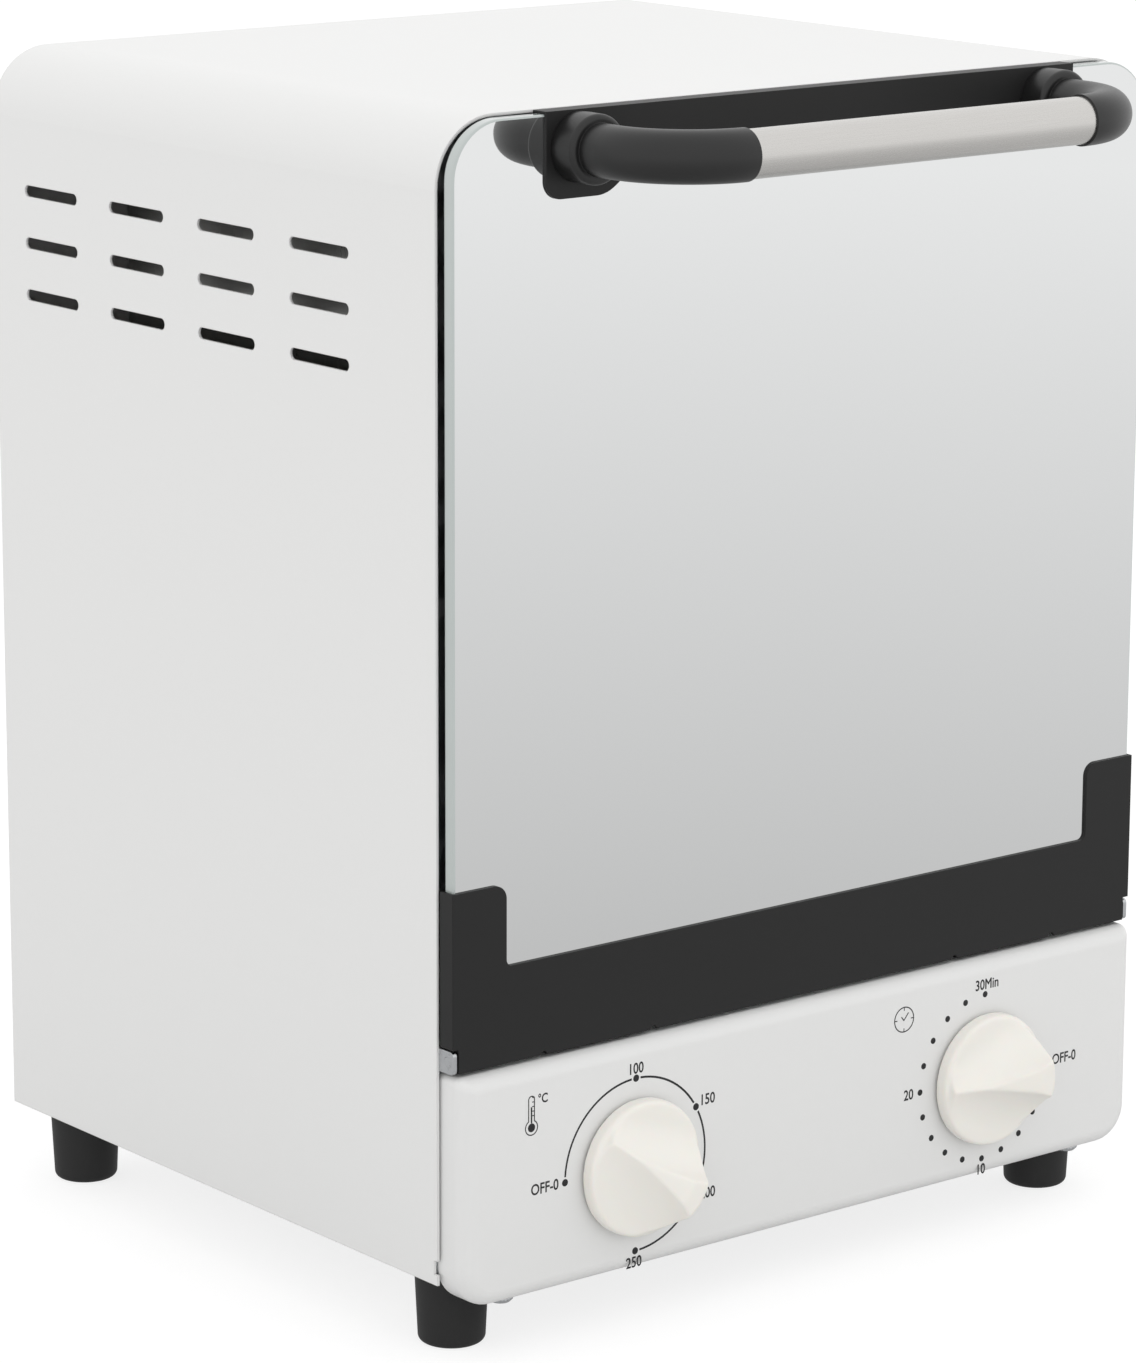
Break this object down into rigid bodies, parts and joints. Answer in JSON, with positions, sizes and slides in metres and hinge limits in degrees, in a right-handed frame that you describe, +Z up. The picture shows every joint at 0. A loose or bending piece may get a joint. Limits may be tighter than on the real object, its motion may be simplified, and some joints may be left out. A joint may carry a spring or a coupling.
{
  "type": "dry heat sterilizer",
  "caption": "Bench-top dry heat sterilizer: white steel cabinet, drop-down mirror-glass door with bar handle, two dial knobs, heated stainless chamber with racks and a tray.",
  "frame": {"origin": "on the table, under the middle of the whole outline, handle included", "axes": "+Z up, the longest way; +X to the right seen from the front, the shortest way; the front looks to -Y"},
  "size_m": [0.256, 0.2696, 0.343],
  "materials": {
    "white_paint": "satin powder coat",
    "grey_steel": "galvanised sheet",
    "stainless_steel": "rolled stainless",
    "heater_sheath": "heat-darkened sheath",
    "ceramic": "unglazed steatite",
    "zinc_steel": "zinc plated",
    "spring_steel": "drawn wire",
    "copper_tube": "drawn tube",
    "mirror_glass": "mirror-coated float glass, polished edge",
    "black_paint": "satin black paint",
    "black_plastic": "moulded, satin",
    "satin_tube": "satin drawn tube",
    "ivory_plastic": "moulded, soft gloss",
    "control_moulding": "moulded",
    "foot_rubber": "satin black"
  },
  "bodies": {
    "cabinet": {"base_plate": "grey_steel", "cable_gland": "black_plastic", "chamber": "stainless_steel", "control_panel": "white_paint", "control_screws": "zinc_steel", "door_spring_left": "spring_steel", "door_spring_right": "spring_steel", "foot_front_left": "foot_rubber", "foot_front_right": "foot_rubber", "foot_nuts": "zinc_steel", "foot_rear_left": "foot_rubber", "foot_rear_right": "foot_rubber", "foot_screws": "zinc_steel", "front_frame": "grey_steel", "gland_nut": "black_plastic", "heater_insulators": "ceramic", "heater_lower_front": "heater_sheath", "heater_lower_rear": "heater_sheath", "heater_upper_front": "heater_sheath", "heater_upper_rear": "heater_sheath", "hinge_lug_left": "zinc_steel", "hinge_lug_right": "zinc_steel", "hinge_pin_left": "zinc_steel", "hinge_pin_right": "zinc_steel", "instrument_tray": "stainless_steel", "outer_casing": "white_paint", "panel_screws": "zinc_steel", "rear_panel": "white_paint", "rear_screws": "zinc_steel", "sensor_clips": "stainless_steel", "shelf_rail_left": "stainless_steel", "shelf_rail_right": "stainless_steel", "spring_anchor_left": "zinc_steel", "spring_anchor_right": "zinc_steel", "terminal_block": "control_moulding", "thermal_cutout": "zinc_steel", "thermostat_body": "control_moulding", "thermostat_sensor": "copper_tube", "timer_bell": "zinc_steel", "timer_body": "control_moulding", "wire_rack_lower": "stainless_steel", "wire_rack_upper": "stainless_steel"},
    "door": {"door_glass": "mirror_glass", "door_rail": "black_paint", "handle_plate": "black_paint", "handle_end_left": "black_plastic", "handle_end_right": "black_plastic", "handle_grip": "satin_tube", "handle_screws": "zinc_steel", "door_lever_left": "zinc_steel", "door_lever_right": "zinc_steel"},
    "temperature_dial": {"temperature_knob": "ivory_plastic", "thermostat_shaft": "zinc_steel"},
    "timer_dial": {"timer_knob": "ivory_plastic", "timer_shaft": "zinc_steel"}
  },
  "joints": [
    {"name": "door_hinge", "type": "hinge", "parent": "cabinet", "child": "door", "pos_m": [0, -0.0856, 0.0876], "axis": [1, 0, 0], "range_deg": [0, 90], "stiffness_Nm_per_rad": 0.25, "springref_deg": -57.3, "deforming": ["door_spring_left", "door_spring_right"]},
    {"name": "temperature_turn", "type": "hinge", "parent": "cabinet", "child": "temperature_dial", "pos_m": [-0.0662, -0.0928, 0.0478], "axis": [0, 1, 0], "range_deg": [-218, 52]},
    {"name": "timer_turn", "type": "hinge", "parent": "cabinet", "child": "timer_dial", "pos_m": [0.0662, -0.0928, 0.0478], "axis": [0, 1, 0], "range_deg": [0, 270]}
  ]
}
